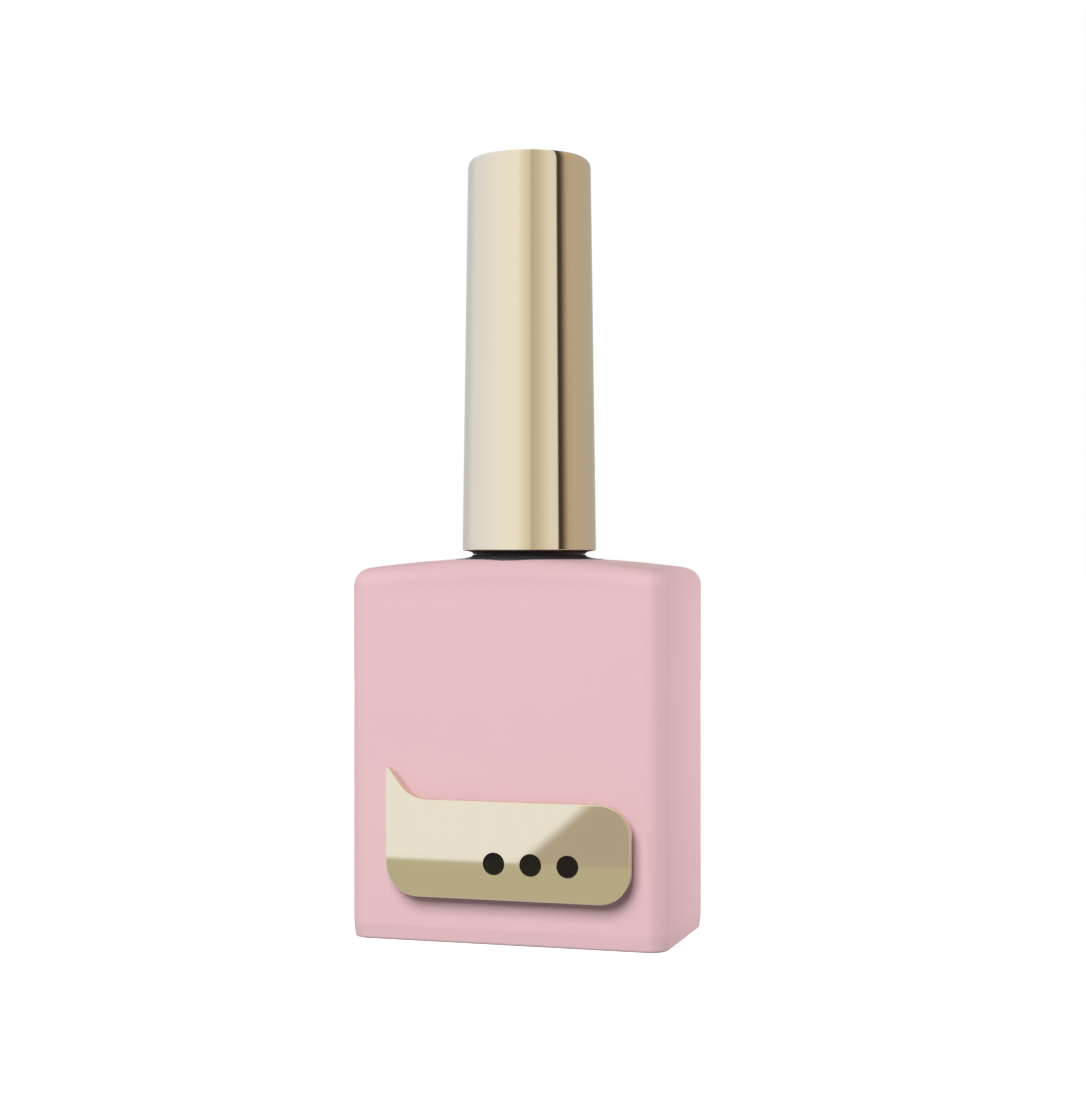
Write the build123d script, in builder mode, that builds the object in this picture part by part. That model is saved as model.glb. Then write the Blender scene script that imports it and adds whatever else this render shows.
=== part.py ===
from build123d import *
import math
import os

# A nail polish bottle in millimetres: +Z up, origin on the neck's axis at the resting
# plane, badge facing -Y.

# ---- body ------------------------------------------------------------------------
BODY_W = 38.45  # overall width, lacquer included
BODY_D = 20.4  # overall depth, lacquer included, badge left out
CROWN_Z = 44.94  # where the domed shoulder would cross the neck's axis
DOME_R = 140.0
UPRIGHT_EDGE_R = 2.3
SHOULDER_EDGE_R = 2.2
HEEL_H = 1.8  # the sides draw in a little over the last stretch above the base
HEEL_DRAW = 0.2
HEEL_SOFTENING_R = 3.0
HEEL_R = 0.4
COAT_T = 0.2
COAT_LOWER_EDGE_Z = 0.12

# ---- chamber and base --------------------------------------------------------------
GLASS_WALL = 2.4
CHAMBER_FLOOR_Z = 4.8
CHAMBER_CEILING_Z = 40.8
CHAMBER_UPRIGHT_R = 3.5
CHAMBER_FLOOR_R = 2.0
CHAMBER_CEILING_R = 3.0
CHAMBER_MOUTH_R = 1.5
PUSH_UP_W = 27.0
PUSH_UP_D = 12.4
PUSH_UP_H = 0.5
PUSH_UP_CORNER_R = 4.0
LABEL_R = 5.5
LABEL_T = 0.1

# ---- neck: a 13-415 finish ---------------------------------------------------------
THREAD_PITCH = 25.4 / 12
THREAD_CREST_R = 12.9 / 2
THREAD_SINK = 0.2  # how far a ridge's root is sunk in its wall
NECK_R = 11.4 / 2
NECK_TOP_Z = 55.85
NECK_LIP_R = 0.45
BORE_R = 3.6
WAIST_R = 6.72  # the narrowest place of the black spool between shoulder and cap
ROOT_FLARE_R = 8.86
ROOT_FLARE_Z = 44.71
ROOT_TOP_Z = 45.24
ROOT_CORE_Z = 42.7
GUIDE_R = 6.48  # a low step that centres the closure's bore
GUIDE_TOP_Z = 45.8
COAT_HOLE_R = 8.88
NECK_THREAD_Z = 48.6  # the thread's lower end, on its centre line
NECK_THREAD_TURNS = 1.35
NECK_THREAD_ROOT_W = 1.15
NECK_THREAD_CREST_W = 0.55

# ---- closure -----------------------------------------------------------------------
CAP_BOTTOM_Z = 45.66
CAP_TOP_Z = 92.7
CAP_BOTTOM_R = 8.0
CAP_TOP_R = 7.34
CAP_TOP_EDGE_R = 1.3
CAP_RIM_R = 0.2
SHELL_WALL = 0.6
SHELL_TOP_T = 0.7
SPOOL_LIP_BOTTOM_Z = 45.28
SPOOL_LIP_TOP_R = 7.85
CAP_BORE_R = 6.58
CAP_CEILING_Z = 57.4
CAP_THREAD_CREST_R = 5.95
CAP_THREAD_ROOT_W = 0.95
CAP_THREAD_CREST_W = 0.4
CAP_THREAD_TURNS = 1.25
SKIRT_TOP_Z = 61.7
POCKET_FLOOR_Z = 60.6
POCKET_R = 4.6
TOWER_R = 5.5
INNER_CAP_TOP_Z = 91.8
RIB_COUNT = 6
RIB_T = 1.0
WEIGHT_R = 4.5
WEIGHT_Z = 60.7
WEIGHT_H = 30.8
WEIGHT_CHAMFER = 0.5

# ---- brush and seal ----------------------------------------------------------------
FLANGE_R = 5.5
FLANGE_BOTTOM_Z = 56.6
STEM_R = 2.0
STEM_STRAIGHT_END_Z = 46.2
STEM_SLIM_R = 1.65
STEM_SLIM_Z = 28.0
STEM_END_R = 1.95
STEM_END_SHOULDER_Z = 25.6
STEM_BOTTOM_Z = 20.5
STEM_BOTTOM_CHAMFER = 0.3
STEM_CORE_R = 1.3
STEM_CORE_TOP_Z = 24.4
PLUG_R = 3.0
PLUG_GROOVE_R = 2.7
PLUG_GROOVE_Z = 58.4
PLUG_GROOVE_H = 0.8
PLUG_TOP_Z = 59.8
ANCHOR_W = 3.3
ANCHOR_T = 0.4
ANCHOR_H = 1.1
ANCHOR_Z = 23.1
# The tuft below the stem: height, half-width across X, half-width across Y.
TUFT_SECTIONS = [
    (17.0, 1.75, 1.35),
    (12.5, 2.3, 1.4),
    (9.5, 2.4, 1.3),
    (7.7, 1.9, 1.0),
    (6.9, 0.9, 0.45),
]
WASHER_R = 5.6
WASHER_HOLE_R = 2.1
WASHER_T = 0.7
WASHER_GAP = 0.02

# ---- badge -------------------------------------------------------------------------
PAD_T = 1.2
PAD_INSET = 0.9
PLATE_T = 0.8
PLATE_LEFT = -13.81
PLATE_RIGHT = 15.59
PLATE_BOTTOM = 5.59
PLATE_TOP = 16.92
PLATE_RIGHT_R = 3.7
PLATE_LEFT_R = 4.0
PLATE_FACE_R = 0.12
TAIL_FOOT_X = -8.7  # where the tail's sweep leaves the top edge
TAIL_SWEEP_R = 4.0
TAIL_LEAN = 53.0  # how steeply the tail's slope rises above the sweep, in degrees
TAIL_TOP_Z = 20.42
TAIL_TIP_R = 0.31
DOT_R = 1.3
DOT_PITCH = 4.4
DOT_COUNT = 3
DOT_X = 3.82
DOT_Z = 9.78
DOT_POCKET = 0.4
DOT_BELOW_FACE = 0.1

# ---- mixing balls ------------------------------------------------------------------
BALL_R = 2.0
BALL_X = 9.0
BALL_GAP = 0.02


def cap_radius(z):
    """The tapered cap's outer radius at a height."""
    share = (z - CAP_BOTTOM_Z) / (CAP_TOP_Z - CAP_BOTTOM_Z)
    return CAP_BOTTOM_R + share * (CAP_TOP_R - CAP_BOTTOM_R)


def bottle_form(inset):
    """The bottle's outside without its neck, moved in by inset except at the resting plane."""
    with BuildPart() as form:
        with BuildSketch(Plane.XY.offset(HEEL_H)) as outline:
            RectangleRounded(BODY_W - 2 * inset, BODY_D - 2 * inset, UPRIGHT_EDGE_R - inset)
        extrude(amount=CROWN_Z - HEEL_H)
        heel_taper = math.degrees(math.atan(HEEL_DRAW / HEEL_H))
        extrude(outline.sketch, amount=-HEEL_H, taper=heel_taper)
        with Locations((0, 0, CROWN_Z - DOME_R)):
            Sphere(DOME_R - inset, mode=Mode.INTERSECT)
        fillet(form.faces().sort_by(Axis.Z)[-1].edges(), SHOULDER_EDGE_R - inset)
        crease = form.edges().filter_by_position(Axis.Z, HEEL_H, HEEL_H)
        fillet(crease, HEEL_SOFTENING_R)
        fillet(form.faces().sort_by(Axis.Z)[0].edges(), HEEL_R)
    return form.part


def thread_ridge(root_r, root_w, crest_r, crest_w, start_z, turns):
    """A right-handed helical ridge whose root is sunk a little past root_r into its wall."""
    height = abs(crest_r - root_r)
    inner_r = root_r + math.copysign(THREAD_SINK, root_r - crest_r)
    inner_w = root_w + (root_w - crest_w) * THREAD_SINK / height
    with BuildPart() as ridge:
        with BuildLine() as path:
            Helix(THREAD_PITCH, THREAD_PITCH * turns, inner_r, center=(0, 0, start_z))
        with BuildSketch(Plane.XZ):
            Polygon(
                (inner_r, start_z - inner_w / 2),
                (crest_r, start_z - crest_w / 2),
                (crest_r, start_z + crest_w / 2),
                (inner_r, start_z + inner_w / 2),
                align=None,
            )
        sweep(path=path.line, is_frenet=True)
    return ridge.part


# ---- the bottle --------------------------------------------------------------------
coat_form = bottle_form(0)
glass_form = bottle_form(COAT_T)

# the space for the polish
with BuildPart() as chamber:
    with BuildSketch(Plane.XY.offset(CHAMBER_FLOOR_Z)):
        RectangleRounded(
            BODY_W - 2 * (COAT_T + GLASS_WALL),
            BODY_D - 2 * (COAT_T + GLASS_WALL),
            CHAMBER_UPRIGHT_R,
        )
    extrude(amount=CHAMBER_CEILING_Z - CHAMBER_FLOOR_Z)
    fillet(chamber.faces().sort_by(Axis.Z)[0].edges(), CHAMBER_FLOOR_R)
    fillet(chamber.faces().sort_by(Axis.Z)[-1].edges(), CHAMBER_CEILING_R)
    with BuildSketch(Plane.XY.offset(CHAMBER_CEILING_Z)):
        Circle(BORE_R)
    extrude(amount=NECK_TOP_Z - CHAMBER_CEILING_Z)
    mouth = chamber.edges().filter_by(GeomType.CIRCLE).filter_by_position(
        Axis.Z, CHAMBER_CEILING_Z, CHAMBER_CEILING_Z
    )
    fillet(mouth.sort_by(SortBy.RADIUS)[-1], CHAMBER_MOUTH_R)

neck_thread = thread_ridge(
    NECK_R,
    NECK_THREAD_ROOT_W,
    THREAD_CREST_R,
    NECK_THREAD_CREST_W,
    NECK_THREAD_Z,
    NECK_THREAD_TURNS,
)

with BuildPart() as glass_bottle:
    add(glass_form)
    # neck with its flared root
    with BuildSketch(Plane.XZ):
        with BuildLine():
            flare = EllipticalCenterArc(
                (ROOT_FLARE_R, ROOT_TOP_Z),
                ROOT_FLARE_R - WAIST_R,
                ROOT_TOP_Z - ROOT_FLARE_Z,
                start_angle=180,
                arc_size=90,
            )
            Polyline(
                flare @ 1,
                (ROOT_FLARE_R, ROOT_CORE_Z),
                (0, ROOT_CORE_Z),
                (0, NECK_TOP_Z),
                (NECK_R, NECK_TOP_Z),
                (NECK_R, GUIDE_TOP_Z),
                (GUIDE_R, GUIDE_TOP_Z),
                (GUIDE_R, ROOT_TOP_Z),
                flare @ 0,
            )
        make_face()
    revolve(axis=Axis.Z)
    fillet(glass_bottle.faces().sort_by(Axis.Z)[-1].edges(), NECK_LIP_R)
    add(neck_thread)
    add(chamber.part, mode=Mode.SUBTRACT)
    # push-up under the base, which leaves a flat ring to stand on
    with BuildSketch():
        RectangleRounded(PUSH_UP_W, PUSH_UP_D, PUSH_UP_CORNER_R)
    extrude(amount=PUSH_UP_H, mode=Mode.SUBTRACT)
glass_bottle.part.label = "glass_bottle"

with BuildPart() as lacquer_coat:
    add(coat_form)
    add(glass_form, mode=Mode.SUBTRACT)
    # masked round the neck, and stopped just above the resting plane
    with BuildSketch(Plane.XY.offset(ROOT_CORE_Z)):
        Circle(COAT_HOLE_R)
    extrude(amount=CROWN_Z - ROOT_CORE_Z, mode=Mode.SUBTRACT)
    split(bisect_by=Plane.XY.offset(COAT_LOWER_EDGE_Z), keep=Keep.TOP)
lacquer_coat.part.label = "lacquer_coat"

with BuildPart() as base_label:
    with BuildSketch(Plane.XY.offset(PUSH_UP_H - LABEL_T)):
        Circle(LABEL_R)
    extrude(amount=LABEL_T)
base_label.part.label = "base_label"


def mixing_ball(x):
    """A steel ball resting on the chamber floor."""
    with BuildPart() as ball:
        with Locations((x, 0, CHAMBER_FLOOR_Z + BALL_GAP + BALL_R)):
            Sphere(BALL_R)
    return ball.part


mixing_ball_1 = mixing_ball(-BALL_X)
mixing_ball_1.label = "mixing_ball_1"
mixing_ball_2 = mixing_ball(BALL_X)
mixing_ball_2.label = "mixing_ball_2"

# ---- the badge ---------------------------------------------------------------------
pad_plane = Plane.XZ.offset(BODY_D / 2)
plate_plane = pad_plane.offset(PAD_T)
face_plane = plate_plane.offset(PLATE_T)

# the outline: the tail's sweep, round the plate to the tail's top, and down its slope
with BuildLine() as plate_outline:
    tail_sweep = CenterArc(
        (TAIL_FOOT_X, PLATE_TOP + TAIL_SWEEP_R),
        TAIL_SWEEP_R,
        start_angle=270 - TAIL_LEAN,
        arc_size=TAIL_LEAN,
    )
    slope_foot = tail_sweep @ 0
    slope_run = (TAIL_TOP_Z - slope_foot.Y) / math.tan(math.radians(TAIL_LEAN))
    Polyline(
        tail_sweep @ 1,
        (PLATE_RIGHT, PLATE_TOP),
        (PLATE_RIGHT, PLATE_BOTTOM),
        (PLATE_LEFT, PLATE_BOTTOM),
        (PLATE_LEFT, TAIL_TOP_Z),
        (slope_foot.X - slope_run, TAIL_TOP_Z),
        slope_foot,
    )

with BuildPart() as badge_adhesive:
    with BuildSketch(pad_plane):
        with Locations(((PLATE_LEFT + PLATE_RIGHT) / 2, (PLATE_BOTTOM + PLATE_TOP) / 2)):
            RectangleRounded(
                PLATE_RIGHT - PLATE_LEFT - 2 * PAD_INSET,
                PLATE_TOP - PLATE_BOTTOM - 2 * PAD_INSET,
                PLATE_RIGHT_R - PAD_INSET,
            )
    extrude(amount=PAD_T)
badge_adhesive.part.label = "badge_adhesive"

with BuildPart() as badge_plate:
    with BuildSketch(plate_plane) as plate_face:
        make_face(plate_outline.edges())
        fillet(plate_face.vertices().group_by(Axis.Y)[-1], TAIL_TIP_R)
        fillet(plate_face.vertices().group_by(Axis.X)[-1], PLATE_RIGHT_R)
        fillet(plate_face.vertices().group_by(Axis.Y)[0].sort_by(Axis.X)[0], PLATE_LEFT_R)
    extrude(amount=PLATE_T)
    fillet(badge_plate.faces().sort_by(Axis.Y)[0].edges(), PLATE_FACE_R)
    with BuildSketch(face_plane):
        with Locations((DOT_X, DOT_Z)):
            with GridLocations(DOT_PITCH, 0, DOT_COUNT, 1):
                Circle(DOT_R)
    extrude(amount=-DOT_POCKET, mode=Mode.SUBTRACT)
badge_plate.part.label = "badge_plate"

with BuildPart() as badge_inlay:
    with BuildSketch(face_plane.offset(-DOT_POCKET)):
        with Locations((DOT_X, DOT_Z)):
            with GridLocations(DOT_PITCH, 0, DOT_COUNT, 1):
                Circle(DOT_R)
    extrude(amount=DOT_POCKET - DOT_BELOW_FACE)
badge_inlay.part.label = "badge_inlay"

# ---- the closure -------------------------------------------------------------------
with BuildPart() as outer_cap:
    with BuildSketch(Plane.XZ):
        Polygon(
            (0, CAP_BOTTOM_Z),
            (CAP_BOTTOM_R, CAP_BOTTOM_Z),
            (CAP_TOP_R, CAP_TOP_Z),
            (0, CAP_TOP_Z),
            align=None,
        )
    revolve(axis=Axis.Z)
    fillet(outer_cap.faces().sort_by(Axis.Z)[-1].edges(), CAP_TOP_EDGE_R)
    fillet(outer_cap.faces().sort_by(Axis.Z)[0].edges(), CAP_RIM_R)
    with BuildSketch(Plane.XZ):
        Polygon(
            (0, CAP_BOTTOM_Z),
            (CAP_BOTTOM_R - SHELL_WALL, CAP_BOTTOM_Z),
            (cap_radius(CAP_TOP_Z - SHELL_TOP_T) - SHELL_WALL, CAP_TOP_Z - SHELL_TOP_T),
            (0, CAP_TOP_Z - SHELL_TOP_T),
            align=None,
        )
    revolve(axis=Axis.Z, mode=Mode.SUBTRACT)
outer_cap.part.label = "outer_cap"

cap_thread = thread_ridge(
    CAP_BORE_R,
    CAP_THREAD_ROOT_W,
    CAP_THREAD_CREST_R,
    CAP_THREAD_CREST_W,
    NECK_THREAD_Z - THREAD_PITCH / 2,
    CAP_THREAD_TURNS,
)

with BuildPart() as inner_cap:
    # the outside fills the shell; the lip under it is the spool's upper half
    with BuildSketch(Plane.XZ):
        with BuildLine():
            lip = EllipticalCenterArc(
                (SPOOL_LIP_TOP_R, SPOOL_LIP_BOTTOM_Z),
                SPOOL_LIP_TOP_R - WAIST_R,
                CAP_BOTTOM_Z - SPOOL_LIP_BOTTOM_Z,
                start_angle=180,
                arc_size=-90,
            )
            Polyline(
                lip @ 1,
                (CAP_BOTTOM_R - SHELL_WALL, CAP_BOTTOM_Z),
                (cap_radius(INNER_CAP_TOP_Z) - SHELL_WALL, INNER_CAP_TOP_Z),
                (0, INNER_CAP_TOP_Z),
                (0, SPOOL_LIP_BOTTOM_Z),
                lip @ 0,
            )
        make_face()
    revolve(axis=Axis.Z)
    # bore over the neck, socket for the brush's plug, pocket for the weight
    with BuildSketch(Plane.XY.offset(SPOOL_LIP_BOTTOM_Z)):
        Circle(CAP_BORE_R)
    extrude(amount=CAP_CEILING_Z - SPOOL_LIP_BOTTOM_Z, mode=Mode.SUBTRACT)
    with BuildSketch(Plane.XZ):
        Polygon(
            (0, CAP_CEILING_Z),
            (PLUG_R, CAP_CEILING_Z),
            (PLUG_R, PLUG_GROOVE_Z),
            (PLUG_GROOVE_R, PLUG_GROOVE_Z),
            (PLUG_GROOVE_R, PLUG_GROOVE_Z + PLUG_GROOVE_H),
            (PLUG_R, PLUG_GROOVE_Z + PLUG_GROOVE_H),
            (PLUG_R, PLUG_TOP_Z),
            (0, PLUG_TOP_Z),
            align=None,
        )
    revolve(axis=Axis.Z, mode=Mode.SUBTRACT)
    with BuildSketch(Plane.XY.offset(POCKET_FLOOR_Z)):
        Circle(POCKET_R)
    extrude(amount=INNER_CAP_TOP_Z - POCKET_FLOOR_Z, mode=Mode.SUBTRACT)
    # above the skirt only ribs reach the shell
    with BuildSketch(Plane.XY.offset(SKIRT_TOP_Z)):
        Circle(CAP_BOTTOM_R)
        Circle(TOWER_R, mode=Mode.SUBTRACT)
        with PolarLocations(CAP_BOTTOM_R / 2, RIB_COUNT):
            Rectangle(CAP_BOTTOM_R, RIB_T, mode=Mode.SUBTRACT)
    extrude(amount=INNER_CAP_TOP_Z - SKIRT_TOP_Z, mode=Mode.SUBTRACT)
    add(cap_thread)
inner_cap.part.label = "inner_cap"

with BuildPart() as cap_weight:
    with BuildSketch(Plane.XY.offset(WEIGHT_Z)):
        Circle(WEIGHT_R)
    extrude(amount=WEIGHT_H)
    chamfer(cap_weight.edges().filter_by(GeomType.CIRCLE), WEIGHT_CHAMFER)
cap_weight.part.label = "cap_weight"

# ---- the brush ---------------------------------------------------------------------
with BuildPart() as brush_stem:
    with BuildSketch(Plane.XZ):
        Polygon(
            (0, STEM_BOTTOM_Z),
            (STEM_END_R, STEM_BOTTOM_Z),
            (STEM_END_R, STEM_END_SHOULDER_Z),
            (STEM_SLIM_R, STEM_SLIM_Z),
            (STEM_R, STEM_STRAIGHT_END_Z),
            (STEM_R, FLANGE_BOTTOM_Z),
            (FLANGE_R, FLANGE_BOTTOM_Z),
            (FLANGE_R, CAP_CEILING_Z),
            (PLUG_R, CAP_CEILING_Z),
            (PLUG_R, PLUG_GROOVE_Z),
            (PLUG_GROOVE_R, PLUG_GROOVE_Z),
            (PLUG_GROOVE_R, PLUG_GROOVE_Z + PLUG_GROOVE_H),
            (PLUG_R, PLUG_GROOVE_Z + PLUG_GROOVE_H),
            (PLUG_R, PLUG_TOP_Z),
            (0, PLUG_TOP_Z),
            align=None,
        )
    revolve(axis=Axis.Z)
    chamfer(brush_stem.faces().sort_by(Axis.Z)[0].edges(), STEM_BOTTOM_CHAMFER)
    with BuildSketch(Plane.XY.offset(STEM_BOTTOM_Z)):
        Circle(STEM_CORE_R)
    extrude(amount=STEM_CORE_TOP_Z - STEM_BOTTOM_Z, mode=Mode.SUBTRACT)
    with Locations((0, 0, ANCHOR_Z)):
        Box(ANCHOR_W, ANCHOR_T, ANCHOR_H, mode=Mode.SUBTRACT)
brush_stem.part.label = "brush_stem"

with BuildPart() as bristle_tuft:
    with BuildSketch(Plane.XY.offset(STEM_BOTTOM_Z)):
        Circle(STEM_CORE_R)
    extrude(amount=STEM_CORE_TOP_Z - STEM_BOTTOM_Z)
    with BuildSketch(Plane.XY.offset(STEM_BOTTOM_Z)):
        Circle(STEM_CORE_R)
    for height, half_x, half_y in TUFT_SECTIONS:
        with BuildSketch(Plane.XY.offset(height)):
            Ellipse(half_x, half_y)
    loft()
    with Locations((0, 0, ANCHOR_Z)):
        Box(ANCHOR_W, ANCHOR_T, ANCHOR_H, mode=Mode.SUBTRACT)
bristle_tuft.part.label = "bristle_tuft"

with BuildPart() as tuft_anchor:
    with Locations((0, 0, ANCHOR_Z)):
        Box(ANCHOR_W, ANCHOR_T, ANCHOR_H)
tuft_anchor.part.label = "tuft_anchor"

with BuildPart() as seal_washer:
    with BuildSketch(Plane.XY.offset(NECK_TOP_Z + WASHER_GAP)):
        Circle(WASHER_R)
        Circle(WASHER_HOLE_R, mode=Mode.SUBTRACT)
    extrude(amount=WASHER_T)
seal_washer.part.label = "seal_washer"

# ---- one STEP for each piece -------------------------------------------------------
os.makedirs("parts", exist_ok=True)
pieces = [
    glass_bottle.part,
    lacquer_coat.part,
    base_label.part,
    mixing_ball_1,
    mixing_ball_2,
    badge_adhesive.part,
    badge_plate.part,
    badge_inlay.part,
    outer_cap.part,
    inner_cap.part,
    cap_weight.part,
    brush_stem.part,
    bristle_tuft.part,
    tuft_anchor.part,
    seal_washer.part,
]
for piece in pieces:
    export_step(piece, f"parts/{piece.label}.step")
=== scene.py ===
import math
import random

import bmesh
import bpy
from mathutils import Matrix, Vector


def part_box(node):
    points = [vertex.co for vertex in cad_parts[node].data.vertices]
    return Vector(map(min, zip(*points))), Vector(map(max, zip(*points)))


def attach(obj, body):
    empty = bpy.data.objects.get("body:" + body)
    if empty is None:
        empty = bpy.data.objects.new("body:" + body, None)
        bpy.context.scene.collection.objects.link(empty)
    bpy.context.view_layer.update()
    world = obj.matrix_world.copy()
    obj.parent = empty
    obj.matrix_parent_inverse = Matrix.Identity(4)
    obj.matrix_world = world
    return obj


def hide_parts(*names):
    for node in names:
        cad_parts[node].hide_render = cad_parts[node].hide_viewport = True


MM = 0.001

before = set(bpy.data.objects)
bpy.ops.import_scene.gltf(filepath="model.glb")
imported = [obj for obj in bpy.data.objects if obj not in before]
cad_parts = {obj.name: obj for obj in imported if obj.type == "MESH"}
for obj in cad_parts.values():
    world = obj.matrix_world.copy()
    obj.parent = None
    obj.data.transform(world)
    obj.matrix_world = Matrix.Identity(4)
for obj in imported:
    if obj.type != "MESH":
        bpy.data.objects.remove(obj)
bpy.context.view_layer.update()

# ---- camera: level, a little to the object's right, long lens -----------------------
CAMERA_BEARING = math.radians(16.95)  # from the front (-Y) towards +X
CAMERA_HEADING = math.radians(16.59)
CAMERA_DISTANCE = 0.260
CAMERA_HEIGHT = 0.0457
LENS_MM = 70.88

camera_data = bpy.data.cameras.new("camera")
camera_data.lens = LENS_MM
camera_data.sensor_width = 36.0
camera_data.clip_start = 0.01
camera = bpy.data.objects.new("camera", camera_data)
camera.location = (
    CAMERA_DISTANCE * math.sin(CAMERA_BEARING),
    -CAMERA_DISTANCE * math.cos(CAMERA_BEARING),
    CAMERA_HEIGHT,
)
camera.rotation_euler = (math.pi / 2, 0, CAMERA_HEADING)
bpy.context.scene.collection.objects.link(camera)
bpy.context.scene.camera = camera


# ---- node helpers --------------------------------------------------------------------
def new_material(name, **values):
    """A material with a Principled shader, whose uniform values are set on its own sockets."""
    material = bpy.data.materials.new(name)
    material.use_nodes = True
    shader = material.node_tree.nodes["Principled BSDF"]
    for socket, value in values.items():
        shader.inputs[socket.replace("_", " ")].default_value = value
    return material, material.node_tree, shader


def object_noise(tree, scale, detail=4.0, stretch=(1, 1, 1)):
    """Noise over the object's own coordinates; scale is in cycles per metre."""
    coordinates = tree.nodes.new("ShaderNodeTexCoord")
    mapping = tree.nodes.new("ShaderNodeMapping")
    mapping.inputs["Scale"].default_value = stretch
    noise = tree.nodes.new("ShaderNodeTexNoise")
    noise.inputs["Scale"].default_value = scale
    noise.inputs["Detail"].default_value = detail
    tree.links.new(coordinates.outputs["Object"], mapping.inputs["Vector"])
    tree.links.new(mapping.outputs["Vector"], noise.inputs["Vector"])
    return noise.outputs["Fac"]


def spread(tree, factor, low, high, start=0.3, end=0.7, smooth=False):
    """Maps a factor between start and end to a range of values."""
    node = tree.nodes.new("ShaderNodeMapRange")
    node.interpolation_type = "SMOOTHSTEP" if smooth else "LINEAR"
    node.inputs["From Min"].default_value = start
    node.inputs["From Max"].default_value = end
    node.inputs["To Min"].default_value = low
    node.inputs["To Max"].default_value = high
    tree.links.new(factor, node.inputs["Value"])
    return node.outputs["Result"]


def tint(tree, factor, colour_a, colour_b):
    """Blends two colours, each a value or an output, by a factor."""
    node = tree.nodes.new("ShaderNodeMix")
    node.data_type = "RGBA"
    for socket, colour in (("A", colour_a), ("B", colour_b)):
        if isinstance(colour, tuple):
            node.inputs[socket].default_value = (*colour, 1)
        else:
            tree.links.new(colour, node.inputs[socket])
    tree.links.new(factor, node.inputs["Factor"])
    return node.outputs["Result"]


def paint(tree, shader, factor, colour_a, colour_b):
    """Lets the base colour vary between two colours."""
    tree.links.new(tint(tree, factor, colour_a, colour_b), shader.inputs["Base Color"])


def roughen(tree, shader, factor, low, high):
    """Lets the roughness vary between two values."""
    tree.links.new(spread(tree, factor, low, high), shader.inputs["Roughness"])


def bump(tree, shader, height, strength, distance):
    """Adds a bump from a height value; distance is in metres."""
    node = tree.nodes.new("ShaderNodeBump")
    node.inputs["Strength"].default_value = strength
    node.inputs["Distance"].default_value = distance
    tree.links.new(height, node.inputs["Height"])
    tree.links.new(node.outputs["Normal"], shader.inputs["Normal"])


def scaled(colour, factor):
    """A colour made lighter or darker."""
    return tuple(c * factor for c in colour)


# ---- materials -----------------------------------------------------------------------
def soft_touch_pink():
    pink = (0.80, 0.525, 0.556)
    material, tree, shader = new_material(
        "soft_touch_pink", IOR=1.45, Specular_IOR_Level=0.3, Sheen_Weight=0.04, Sheen_Roughness=0.5
    )
    mottle = object_noise(tree, 180, detail=3)
    grain = object_noise(tree, 9000, detail=2)
    paint(tree, shader, mottle, scaled(pink, 0.99), scaled(pink, 1.01))
    roughen(tree, shader, grain, 0.56, 0.68)
    bump(tree, shader, grain, 0.1, 0.00002)
    return material


def polished_gold(name, colour, roughness):
    material, tree, shader = new_material(name, Metallic=1.0)
    streaks = object_noise(tree, 700, detail=3, stretch=(1, 1, 0.02))
    fine = object_noise(tree, 1500, detail=2)
    paint(tree, shader, streaks, scaled(colour, 0.99), scaled(colour, 1.01))
    roughen(tree, shader, fine, roughness * 0.97, roughness * 1.03)
    bump(tree, shader, streaks, 0.004, 0.00001)
    return material


def black_glass():
    material, tree, shader = new_material("black_glass", IOR=1.52, Specular_IOR_Level=0.3)
    seeds = object_noise(tree, 260, detail=2)
    paint(tree, shader, seeds, (0.060, 0.055, 0.057), (0.068, 0.062, 0.064))
    roughen(tree, shader, seeds, 0.22, 0.32)
    bump(tree, shader, seeds, 0.05, 0.0001)
    return material


def moulded_plastic(name, colour, roughness):
    material, tree, shader = new_material(name, IOR=1.49, Specular_IOR_Level=0.3)
    skin = object_noise(tree, 5000, detail=3)
    flow = object_noise(tree, 150, detail=2)
    paint(tree, shader, flow, scaled(colour, 0.92), scaled(colour, 1.08))
    roughen(tree, shader, skin, roughness - 0.06, roughness + 0.06)
    bump(tree, shader, skin, 0.1, 0.00002)
    return material


def turned_steel(name, roughness):
    material, tree, shader = new_material(name, Metallic=1.0)
    rings = object_noise(tree, 800, detail=3, stretch=(0.05, 0.05, 4))
    paint(tree, shader, rings, (0.50, 0.50, 0.52), (0.60, 0.60, 0.61))
    roughen(tree, shader, rings, roughness * 0.8, roughness * 1.2)
    bump(tree, shader, rings, 0.1, 0.00003)
    return material


def label_paper():
    material, tree, shader = new_material("label_paper", Specular_IOR_Level=0.3)
    fibres = object_noise(tree, 3500, detail=5)
    paint(tree, shader, fibres, (0.80, 0.79, 0.76), (0.90, 0.89, 0.87))
    roughen(tree, shader, fibres, 0.75, 0.9)
    bump(tree, shader, fibres, 0.2, 0.00003)
    return material


def enamel():
    material, tree, shader = new_material("black_enamel", IOR=1.5, Specular_IOR_Level=0.15)
    dips = object_noise(tree, 900, detail=2)
    paint(tree, shader, dips, (0.009, 0.007, 0.004), (0.014, 0.011, 0.007))
    roughen(tree, shader, dips, 0.3, 0.4)
    bump(tree, shader, dips, 0.05, 0.00003)
    return material


def nylon_bristle():
    material, tree, shader = new_material("bristle_nylon", IOR=1.53, Specular_IOR_Level=0.5)
    along = object_noise(tree, 2500, detail=2, stretch=(1, 1, 0.05))
    paint(tree, shader, along, (0.022, 0.018, 0.017), (0.050, 0.043, 0.040))
    roughen(tree, shader, along, 0.25, 0.4)
    bump(tree, shader, along, 0.1, 0.00001)
    return material


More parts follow.
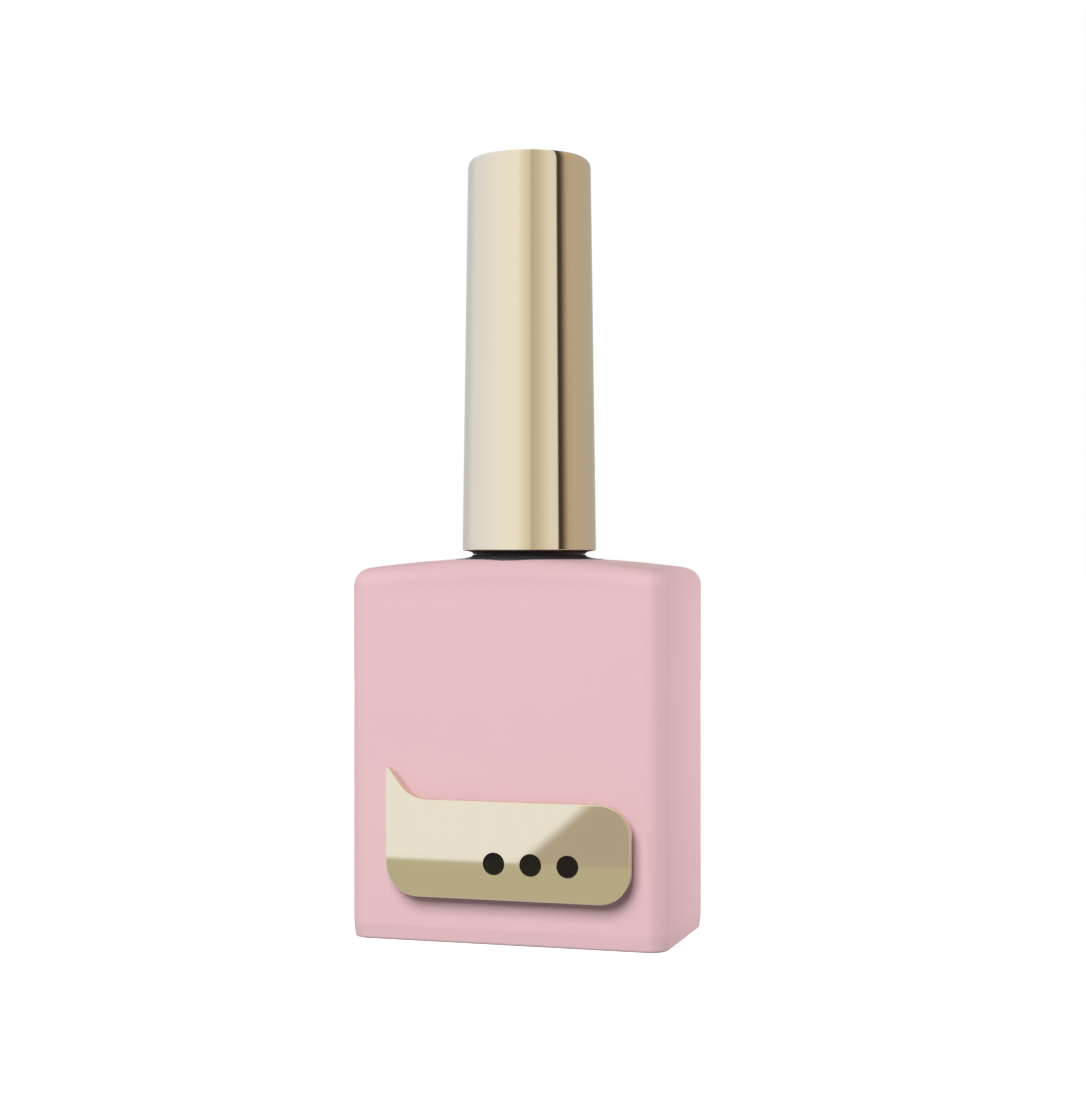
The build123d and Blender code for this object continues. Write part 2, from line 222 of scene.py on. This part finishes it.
GOLD = (0.83, 0.745, 0.555)
cap_gold = polished_gold("cap_gold", GOLD, 0.08)
badge_gold = polished_gold("badge_gold", GOLD, 0.06)
closure_black = moulded_plastic("closure_black", (0.084, 0.077, 0.079), 0.5)
bristle = nylon_bristle()
enamel_black = enamel()
node_materials = {
    "lacquer_coat": soft_touch_pink(),
    "outer_cap": cap_gold,
    "badge_plate": badge_gold,
    "badge_inlay": enamel_black,
    "badge_adhesive": moulded_plastic("adhesive_grey", (0.42, 0.42, 0.41), 0.7),
    "glass_bottle": black_glass(),
    "base_label": label_paper(),
    "inner_cap": closure_black,
    "brush_stem": moulded_plastic("stem_black", (0.018, 0.018, 0.019), 0.35),
    "bristle_tuft": bristle,
    "tuft_anchor": turned_steel("anchor_steel", 0.25),
    "seal_washer": moulded_plastic("washer_foam", (0.78, 0.78, 0.76), 0.6),
    "cap_weight": turned_steel("weight_steel", 0.35),
    "mixing_ball_1": turned_steel("ball_steel", 0.12),
    "mixing_ball_2": turned_steel("ball_steel_2", 0.12),
}
for node, material in node_materials.items():
    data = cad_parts[node].data
    data.materials.clear()
    data.materials.append(material)


# ---- pieces built here ---------------------------------------------------------------
ON_AXIS = 1e-6  # points nearer to an axis than this are one point


def new_piece(name, vertices, faces, material):
    mesh = bpy.data.meshes.new(name)
    mesh.from_pydata(vertices, [], faces)
    welded = bmesh.new()
    welded.from_mesh(mesh)
    bmesh.ops.remove_doubles(welded, verts=welded.verts, dist=ON_AXIS)
    welded.to_mesh(mesh)
    welded.free()
    mesh.materials.append(material)
    for polygon in mesh.polygons:
        polygon.use_smooth = True
    mesh.update()
    piece = bpy.data.objects.new(name, mesh)
    bpy.context.scene.collection.objects.link(piece)
    return piece


def lathe(profile, segments):
    """Vertices and faces of a closed ring of (radius, z) points turned round the Z axis."""
    vertices = []
    faces = []
    count = len(profile)
    for step in range(segments):
        angle = 2 * math.pi * step / segments
        for radius, z in profile:
            vertices.append((radius * math.cos(angle), radius * math.sin(angle), z))
    for step in range(segments):
        here = step * count
        there = (step + 1) % segments * count
        for k in range(count):
            n = (k + 1) % count
            if max(profile[k][0], profile[n][0]) > ON_AXIS:
                faces.append((here + k, there + k, there + n, here + n))
    return vertices, faces


def arc(centre, radius, start, end, steps):
    """(radius, z) points on an arc, angles in degrees from outwards towards up."""
    points = []
    for step in range(steps + 1):
        angle = math.radians(start + (end - start) * step / steps)
        points.append((centre[0] + radius * math.cos(angle), centre[1] + radius * math.sin(angle)))
    return points


# the metal shell, spun with finer edges than the frame's
SHELL_BOTTOM_R = 8.0 * MM
SHELL_TOP_R = 7.34 * MM
SHELL_TOP_EDGE = 1.3 * MM
SHELL_RIM = 0.2 * MM
SHELL_WALL = 0.6 * MM
SHELL_TOP_T = 0.7 * MM
SHELL_STEPS = 60  # rings down the cone
SHELL_SEGMENTS = 256
cap_low, cap_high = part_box("outer_cap")
lean = math.atan((SHELL_BOTTOM_R - SHELL_TOP_R) / (cap_high.z - cap_low.z))
slant = math.degrees(lean)


def shell_radius(z):
    """The shell's outer radius, cone only, at a height."""
    share = (z - cap_low.z) / (cap_high.z - cap_low.z)
    return SHELL_BOTTOM_R + share * (SHELL_TOP_R - SHELL_BOTTOM_R)


outer_top = (
    shell_radius(cap_high.z - SHELL_TOP_EDGE) - SHELL_TOP_EDGE / math.cos(lean),
    cap_high.z - SHELL_TOP_EDGE,
)
outer_rim = (shell_radius(cap_low.z + SHELL_RIM) - SHELL_RIM / math.cos(lean), cap_low.z + SHELL_RIM)
shell_profile = [(0.0, cap_high.z)]
shell_profile += [(outer_top[0] * share, cap_high.z) for share in (0.3, 0.6, 0.85, 0.97)]
shell_profile += arc(outer_top, SHELL_TOP_EDGE, 90, slant, 14)
top_z = shell_profile[-1][1]
foot_z = outer_rim[1]
for step in range(1, SHELL_STEPS):
    z = top_z + (foot_z - top_z) * step / SHELL_STEPS
    shell_profile.append((shell_radius(z), z))
shell_profile += arc(outer_rim, SHELL_RIM, slant, -90, 8)
inner_top_z = cap_high.z - SHELL_TOP_T
shell_profile += [
    (SHELL_BOTTOM_R - SHELL_WALL, cap_low.z),
    (shell_radius(inner_top_z) - SHELL_WALL, inner_top_z),
    (0.0, inner_top_z),
]
shell = new_piece("cap_shell", *lathe(shell_profile, SHELL_SEGMENTS), cap_gold)
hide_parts("outer_cap")
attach(shell, "cap")

# the enamel in the badge's pockets, drawn up a little at its rim
inlay_low, inlay_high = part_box("badge_inlay")
DOT_R = 1.3 * MM
DOT_PITCH = 4.4 * MM
DOT_COUNT = 3
DOT_SEGMENTS = 64
MENISCUS = 0.08 * MM  # how far the enamel climbs at its rim
dot_z = (inlay_low.z + inlay_high.z) / 2
dot_x = (inlay_low.x + inlay_high.x) / 2
dot_profile = [(0.0, 0.0)]
for share in (0.3, 0.55, 0.72, 0.84, 0.92, 0.97, 1.0):
    dot_profile.append((DOT_R * share, MENISCUS * share**8))
depth = inlay_high.y - inlay_low.y
dot_profile += [(DOT_R, -depth), (0.0, -depth)]
dot_vertices = []
dot_faces = []
for number in range(DOT_COUNT):
    vertices, faces = lathe(dot_profile, DOT_SEGMENTS)
    offset = len(dot_vertices)
    across = dot_x + (number - (DOT_COUNT - 1) / 2) * DOT_PITCH
    dot_vertices += [(across + x, inlay_low.y - out, dot_z + y) for x, y, out in vertices]
    dot_faces += [tuple(offset + index for index in face) for face in faces]
dots = new_piece("enamel_dots", dot_vertices, dot_faces, enamel_black)
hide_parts("badge_inlay")
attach(dots, "bottle")

# the tuft as single bristles, bundled round in the stem and spread flat towards the tip
BRISTLE_COUNT = 420
BRISTLE_R = 0.05 * MM
BRISTLE_SIDES = 5
BRISTLE_RINGS = 9
BRISTLE_TAPER_FROM = 0.85  # share of the length after which a bristle thins
BRISTLE_TAPER = 0.75
TIP_Z = 6.9
TIP_ROUNDING = 2.8  # how much higher the tuft's outer bristles end
TIP_SCATTER = 0.35
SWAY = 0.05
ROOT_Z = 24.3
MOUTH_Z = 20.5
# the tuft's half-widths across X and Y at each height, all in millimetres
SPREAD = [
    (ROOT_Z, 1.2, 1.2),
    (MOUTH_Z, 1.2, 1.2),
    (17.0, 1.65, 1.25),
    (12.5, 2.2, 1.3),
    (9.5, 2.3, 1.2),
    (TIP_Z, 2.1, 1.0),
]
random.seed(11)


def spread_at(z):
    """The tuft's half-widths across X and Y at a height, in millimetres."""
    for (z0, x0, y0), (z1, x1, y1) in zip(SPREAD, SPREAD[1:]):
        if z >= z1:
            share = (z0 - z) / (z0 - z1)
            share = share * share * (3 - 2 * share)
            return x0 + share * (x1 - x0), y0 + share * (y1 - y0)
    return SPREAD[-1][1:]


bristle_vertices = []
bristle_faces = []
for number in range(BRISTLE_COUNT):
    distance = math.sqrt((number + 0.5) / BRISTLE_COUNT)
    turn = number * math.pi * (3 - math.sqrt(5))
    u = distance * math.cos(turn)
    v = distance * math.sin(turn)
    tip = TIP_Z + TIP_ROUNDING * abs(u) ** 2.2 + random.uniform(0, TIP_SCATTER)
    sway = (random.uniform(-SWAY, SWAY), random.uniform(-SWAY, SWAY))
    base = len(bristle_vertices)
    for ring in range(BRISTLE_RINGS):
        share = ring / (BRISTLE_RINGS - 1)
        z = ROOT_Z + (tip - ROOT_Z) * share
        half_x, half_y = spread_at(z)
        x = u * half_x + sway[0] * share**2
        y = v * half_y + sway[1] * share**2
        thinning = max(0.0, share - BRISTLE_TAPER_FROM) / (1 - BRISTLE_TAPER_FROM)
        radius = BRISTLE_R * (1 - BRISTLE_TAPER * thinning)
        for side in range(BRISTLE_SIDES):
            angle = 2 * math.pi * side / BRISTLE_SIDES
            bristle_vertices.append(
                (x * MM + radius * math.cos(angle), y * MM + radius * math.sin(angle), z * MM)
            )
    for ring in range(BRISTLE_RINGS - 1):
        for side in range(BRISTLE_SIDES):
            after = (side + 1) % BRISTLE_SIDES
            a = base + ring * BRISTLE_SIDES
            b = a + BRISTLE_SIDES
            bristle_faces.append((a + side, b + side, b + after, a + after))
    bristle_faces.append(tuple(base + side for side in range(BRISTLE_SIDES)))
    end = base + (BRISTLE_RINGS - 1) * BRISTLE_SIDES
    bristle_faces.append(tuple(end + side for side in reversed(range(BRISTLE_SIDES))))
tuft = new_piece("bristles", bristle_vertices, bristle_faces, bristle)
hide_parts("bristle_tuft")
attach(tuft, "cap")


# ---- stage ---------------------------------------------------------------------------
def quad(name, corners, material):
    """A flat stage piece with four corners."""
    mesh = bpy.data.meshes.new(name)
    mesh.from_pydata(corners, [], [(0, 1, 2, 3)])
    mesh.materials.append(material)
    piece = bpy.data.objects.new(name, mesh)
    bpy.context.scene.collection.objects.link(piece)
    return piece


def upright(name, left, right, low, high, y, material):
    """A flat stage piece that stands square to Y and that the camera doesn't see."""
    piece = quad(name, [(left, y, low), (right, y, low), (right, y, high), (left, y, high)], material)
    piece.visible_camera = False
    piece.visible_diffuse = False
    piece.visible_transmission = False
    return piece


def bare_material(name):
    """A material whose shader is still to be made, its node tree and its output."""
    material = bpy.data.materials.new(name)
    material.use_nodes = True
    tree = material.node_tree
    tree.nodes.clear()
    return material, tree, tree.nodes.new("ShaderNodeOutputMaterial")


FLOOR_REACH = 3.0
floor_material, _, _ = new_material(
    "floor_white",
    Base_Color=(0.6, 0.6, 0.6, 1),
    Roughness=0.9,
    Specular_IOR_Level=0.0,
    Emission_Color=(1, 1, 1, 1),
    Emission_Strength=1.0,
)
floor = quad(
    "floor",
    [(x * FLOOR_REACH, y * FLOOR_REACH, 0) for x, y in ((-1, -1), (1, -1), (1, 1), (-1, 1))],
    floor_material,
)
floor.visible_diffuse = False
floor.visible_glossy = False

# A glowing card in front of the badge which only polished surfaces see; it paints a reflection
# on the badge: a darker strip near the table and a soft slanting shaded edge on its right.
CARD_Y = -42.2 * MM
CARD_LEFT = -34 * MM
CARD_RIGHT = 16 * MM
CARD_FOOT = 0.02 * MM
CARD_TOP = 19 * MM
STRIP_TOP = 5.43 * MM
STRIP_BLEND = 0.15 * MM
SLANT_X = -6.7 * MM  # where the slanting edge's middle meets the strip
SLANT_RISE = 1.16  # its run to the right for each unit of height
SLANT_BLEND = 2.6 * MM
# the card's glow, seen in the badge as painted reflection: white above, a darker strip, a shaded slant
CARD_WHITE = (0.964, 0.990, 1.076)
CARD_STRIP = (0.549, 0.526, 0.402)
CARD_SHADE = (0.504, 0.446, 0.376)

card_material, tree, card_output = bare_material("reflection_glow_card")
glow = tree.nodes.new("ShaderNodeEmission")
place = tree.nodes.new("ShaderNodeTexCoord")
split = tree.nodes.new("ShaderNodeSeparateXYZ")
lean_back = tree.nodes.new("ShaderNodeMath")
lean_back.operation = "MULTIPLY_ADD"
lean_back.inputs[1].default_value = -SLANT_RISE
tree.links.new(place.outputs["Object"], split.inputs["Vector"])
tree.links.new(split.outputs["Z"], lean_back.inputs[0])
tree.links.new(split.outputs["X"], lean_back.inputs[2])


def soft_step(tree, value, middle, width):
    """Rises smoothly from 0 to 1 over a width round a middle."""
    return spread(tree, value, 0, 1, middle - width / 2, middle + width / 2, smooth=True)


shade = soft_step(tree, lean_back.outputs["Value"], SLANT_X - SLANT_RISE * STRIP_TOP, SLANT_BLEND)
above = soft_step(tree, split.outputs["Z"], STRIP_TOP, STRIP_BLEND)
upper = tint(tree, shade, CARD_WHITE, CARD_SHADE)
tree.links.new(tint(tree, above, CARD_STRIP, upper), glow.inputs["Color"])
tree.links.new(glow.outputs["Emission"], card_output.inputs["Surface"])
card = upright("reflection_glow", CARD_LEFT, CARD_RIGHT, CARD_FOOT, CARD_TOP, CARD_Y, card_material)
card.visible_shadow = False

# A scrim that takes a little of the key light off the shoulder; only shadow rays meet it.
SCRIM_Y = -14.0 * MM
SCRIM_REACH = 26 * MM
SCRIM_LOW = 45.2 * MM
SCRIM_HIGH = 68 * MM
SCRIM_PASSES = 0.83
scrim_material, tree, scrim_output = bare_material("scrim")
veil = tree.nodes.new("ShaderNodeBsdfTransparent")
veil.inputs["Color"].default_value = (SCRIM_PASSES, SCRIM_PASSES, SCRIM_PASSES, 1)
tree.links.new(veil.outputs["BSDF"], scrim_output.inputs["Surface"])
scrim = upright("scrim", -SCRIM_REACH, SCRIM_REACH, SCRIM_LOW, SCRIM_HIGH, SCRIM_Y, scrim_material)
scrim.visible_glossy = False


LIGHT_TARGET = Vector((0, 0, 0.02))


def soft_box(name, bearing, elevation, distance, size, power):
    """A square area light aimed at the middle of the bottle; bearing runs from -Y to +X."""
    data = bpy.data.lights.new(name, "AREA")
    data.shape = "SQUARE"
    data.size = size
    data.energy = power
    light = bpy.data.objects.new(name, data)
    bearing, elevation = math.radians(bearing), math.radians(elevation)
    offset = distance * Vector(
        (
            math.cos(elevation) * math.sin(bearing),
            -math.cos(elevation) * math.cos(bearing),
            math.sin(elevation),
        )
    )
    light.location = LIGHT_TARGET + offset
    light.rotation_euler = (-offset).to_track_quat("-Z", "Y").to_euler()
    light.visible_glossy = False
    bpy.context.scene.collection.objects.link(light)


soft_box("key", -6, 36, 1.0, 0.6, 11.25)
soft_box("side_fill", 114, 4, 0.12, 0.07, 0.1)
soft_box("left_fill", -108, 4, 0.15, 0.07, 0.06)
soft_box("back_fill", 195, 4, 0.5, 0.4, 2.0)

# The studio round the object, as it is seen in polished metal: twice the bearing of the
# surface that mirrors it, in degrees from the camera and positive to the right, and colour.
STUDIO = [
    (-180, (0.56, 0.56, 0.58)),
    (-165, (0.62, 0.65, 0.72)),
    (-140, (0.65, 0.68, 0.78)),
    (-117, (0.81, 0.86, 1.00)),
    (-57, (0.95, 0.97, 1.04)),
    (-23, (0.99, 0.98, 0.95)),
    (-7, (0.83, 0.78, 0.68)),
    (1.5, (0.74, 0.68, 0.58)),
    (2.5, (0.56, 0.51, 0.41)),
    (14, (0.63, 0.59, 0.48)),
    (36, (0.86, 0.82, 0.775)),
    (50, (0.85, 0.83, 0.81)),
    (52, (0.035, 0.026, 0.018)),
    (59, (0.09, 0.065, 0.045)),
    (72, (0.54, 0.44, 0.35)),
    (90, (0.56, 0.48, 0.39)),
    (150, (0.50, 0.46, 0.42)),
    (180, (0.56, 0.56, 0.58)),
]

world = bpy.data.worlds.new("studio")
bpy.context.scene.world = world
world.use_nodes = True
tree = world.node_tree
tree.nodes.clear()
output = tree.nodes.new("ShaderNodeOutputWorld")
coordinates = tree.nodes.new("ShaderNodeTexCoord")
turn = tree.nodes.new("ShaderNodeVectorRotate")
turn.rotation_type = "Z_AXIS"
turn.inputs["Angle"].default_value = -CAMERA_BEARING
split = tree.nodes.new("ShaderNodeSeparateXYZ")
flip = tree.nodes.new("ShaderNodeMath")
flip.operation = "SUBTRACT"
flip.inputs[0].default_value = 1
bearing = tree.nodes.new("ShaderNodeMath")
bearing.operation = "ARCTAN2"
ramp = tree.nodes.new("ShaderNodeValToRGB")
tree.links.new(coordinates.outputs["Generated"], turn.inputs["Vector"])
tree.links.new(turn.outputs["Vector"], split.inputs["Vector"])
tree.links.new(split.outputs["Y"], flip.inputs[1])
tree.links.new(split.outputs["X"], bearing.inputs[0])
tree.links.new(flip.outputs["Value"], bearing.inputs[1])
tree.links.new(spread(tree, bearing.outputs["Value"], 0, 1, -math.pi / 2, math.pi / 2), ramp.inputs["Fac"])
elements = ramp.color_ramp.elements
while len(elements) > 1:
    elements.remove(elements[-1])
for number, (degrees, colour) in enumerate(STUDIO):
    place = (degrees + 180) / 360
    element = elements[0] if number == 0 else elements.new(place)
    element.position = place
    element.color = (*colour, 1)

LIGHT_FROM_BELOW = 0.3  # bounced off the table; little comes from above
LIGHT_FROM_ABOVE = 0.03
DARK_BELOW = 0.5  # the table as polished edges see it
DARK_FROM = -0.5  # the rays' slopes between which it fades out
DARK_UNTIL = -0.2
HORIZON_BLEND = 0.1
rays = tree.nodes.new("ShaderNodeLightPath")
soft = tree.nodes.new("ShaderNodeBackground")
tree.links.new(
    spread(tree, split.outputs["Z"], LIGHT_FROM_BELOW, LIGHT_FROM_ABOVE, -HORIZON_BLEND, HORIZON_BLEND),
    soft.inputs["Strength"],
)
walls = tree.nodes.new("ShaderNodeBackground")
white = tree.nodes.new("ShaderNodeBackground")
glossy_or_soft = tree.nodes.new("ShaderNodeMixShader")
seen = tree.nodes.new("ShaderNodeMixShader")
tree.links.new(ramp.outputs["Color"], walls.inputs["Color"])
tree.links.new(
    spread(tree, split.outputs["Z"], DARK_BELOW, 1, DARK_FROM, DARK_UNTIL),
    walls.inputs["Strength"],
)
soft.inputs["Color"].default_value = (1, 1, 1, 1)
white.inputs["Color"].default_value = (1, 1, 1, 1)
tree.links.new(rays.outputs["Is Glossy Ray"], glossy_or_soft.inputs["Fac"])
tree.links.new(soft.outputs["Background"], glossy_or_soft.inputs[1])
tree.links.new(walls.outputs["Background"], glossy_or_soft.inputs[2])
tree.links.new(rays.outputs["Is Camera Ray"], seen.inputs["Fac"])
tree.links.new(glossy_or_soft.outputs["Shader"], seen.inputs[1])
tree.links.new(white.outputs["Background"], seen.inputs[2])
tree.links.new(seen.outputs["Shader"], output.inputs["Surface"])

bpy.context.scene.view_settings.view_transform = "Standard"
